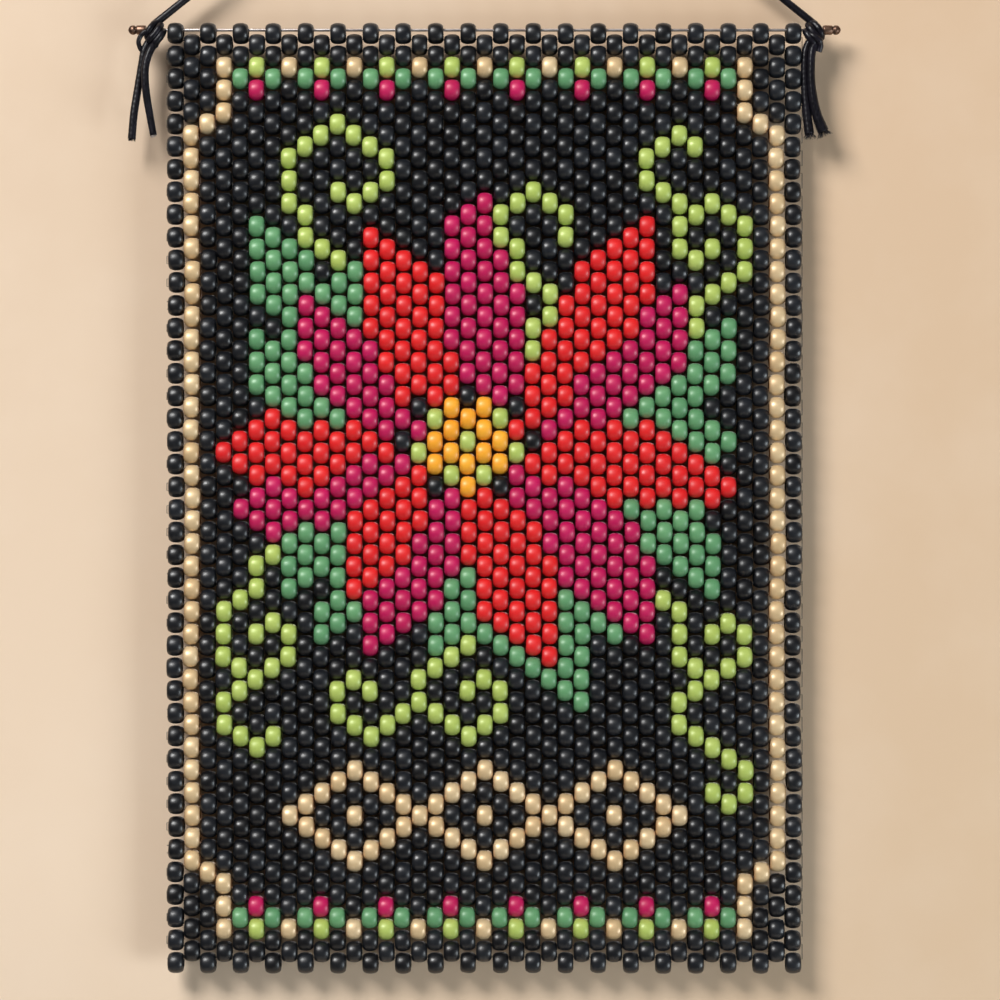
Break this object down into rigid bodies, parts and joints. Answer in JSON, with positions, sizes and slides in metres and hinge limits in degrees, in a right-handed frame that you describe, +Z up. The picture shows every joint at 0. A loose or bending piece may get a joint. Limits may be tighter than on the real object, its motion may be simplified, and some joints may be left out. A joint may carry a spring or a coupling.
{
  "type": "beaded wall banner",
  "caption": "Flower-patterned panel of pony beads stitched on thread, hanging from a thin rod with metal end caps on a knotted cord.",
  "frame": {"origin": "axis of the peg that the hanger cord loops over, in the middle of the banner's width", "axes": "+Z up, +X to the right as seen from the front, the panel's face looks along -Y"},
  "size_m": [0.283, 0.0095, 0.4817],
  "materials": {
    "cord": "woven black cord",
    "rod_steel": "drawn steel wire",
    "cap_metal": "antique copper plating, dark brown",
    "thread": "waxed nylon thread",
    "black_plastic": "glossy opaque polystyrene",
    "cream_plastic": "pearl polystyrene",
    "red_plastic": "glossy opaque polystyrene",
    "magenta_plastic": "glossy opaque polystyrene",
    "green_plastic": "glossy opaque polystyrene",
    "lime_plastic": "glossy opaque polystyrene",
    "yellow_plastic": "glossy opaque polystyrene"
  },
  "bodies": {
    "hanger": {"hanger_cord": "cord", "left_knot": "cord", "right_knot": "cord", "left_tails": "cord", "right_tails": "cord", "rod": "rod_steel", "left_cap": "cap_metal", "right_cap": "cap_metal"},
    "strip_1": {"strip_1_black_beads": "black_plastic", "strip_1_cream_beads": "cream_plastic", "strip_1_magenta_beads": "magenta_plastic", "strip_1_green_beads": "green_plastic", "strip_1_lime_beads": "lime_plastic", "strip_1_thread": "thread"},
    "strip_2": {"strip_2_black_beads": "black_plastic", "strip_2_cream_beads": "cream_plastic", "strip_2_red_beads": "red_plastic", "strip_2_magenta_beads": "magenta_plastic", "strip_2_green_beads": "green_plastic", "strip_2_lime_beads": "lime_plastic", "strip_2_thread": "thread"},
    "strip_3": {"strip_3_black_beads": "black_plastic", "strip_3_cream_beads": "cream_plastic", "strip_3_red_beads": "red_plastic", "strip_3_magenta_beads": "magenta_plastic", "strip_3_green_beads": "green_plastic", "strip_3_lime_beads": "lime_plastic", "strip_3_yellow_beads": "yellow_plastic", "strip_3_thread": "thread"},
    "strip_4": {"strip_4_black_beads": "black_plastic", "strip_4_cream_beads": "cream_plastic", "strip_4_red_beads": "red_plastic", "strip_4_magenta_beads": "magenta_plastic", "strip_4_green_beads": "green_plastic", "strip_4_lime_beads": "lime_plastic", "strip_4_yellow_beads": "yellow_plastic", "strip_4_thread": "thread"},
    "strip_5": {"strip_5_black_beads": "black_plastic", "strip_5_cream_beads": "cream_plastic", "strip_5_red_beads": "red_plastic", "strip_5_magenta_beads": "magenta_plastic", "strip_5_green_beads": "green_plastic", "strip_5_lime_beads": "lime_plastic", "strip_5_thread": "thread"},
    "strip_6": {"strip_6_black_beads": "black_plastic", "strip_6_cream_beads": "cream_plastic", "strip_6_lime_beads": "lime_plastic", "strip_6_thread": "thread"},
    "strip_7": {"strip_7_black_beads": "black_plastic", "strip_7_cream_beads": "cream_plastic", "strip_7_magenta_beads": "magenta_plastic", "strip_7_green_beads": "green_plastic", "strip_7_lime_beads": "lime_plastic", "strip_7_thread": "thread"}
  },
  "joints": [
    {"name": "swing_on_rod", "type": "hinge", "parent": "hanger", "child": "strip_1", "pos_m": [0, 0, -0.1], "axis": [1, 0, 0], "range_deg": [-90, 90]},
    {"name": "fold_1", "type": "hinge", "parent": "strip_1", "child": "strip_2", "pos_m": [0, 0, -0.15313], "axis": [1, 0, 0], "range_deg": [-30, 30]},
    {"name": "fold_2", "type": "hinge", "parent": "strip_2", "child": "strip_3", "pos_m": [0, 0, -0.20713], "axis": [1, 0, 0], "range_deg": [-30, 30]},
    {"name": "fold_3", "type": "hinge", "parent": "strip_3", "child": "strip_4", "pos_m": [0, 0, -0.26113], "axis": [1, 0, 0], "range_deg": [-30, 30]},
    {"name": "fold_4", "type": "hinge", "parent": "strip_4", "child": "strip_5", "pos_m": [0, 0, -0.31513], "axis": [1, 0, 0], "range_deg": [-30, 30]},
    {"name": "fold_5", "type": "hinge", "parent": "strip_5", "child": "strip_6", "pos_m": [0, 0, -0.36913], "axis": [1, 0, 0], "range_deg": [-30, 30]},
    {"name": "fold_6", "type": "hinge", "parent": "strip_6", "child": "strip_7", "pos_m": [0, 0, -0.42313], "axis": [1, 0, 0], "range_deg": [-30, 30]}
  ]
}
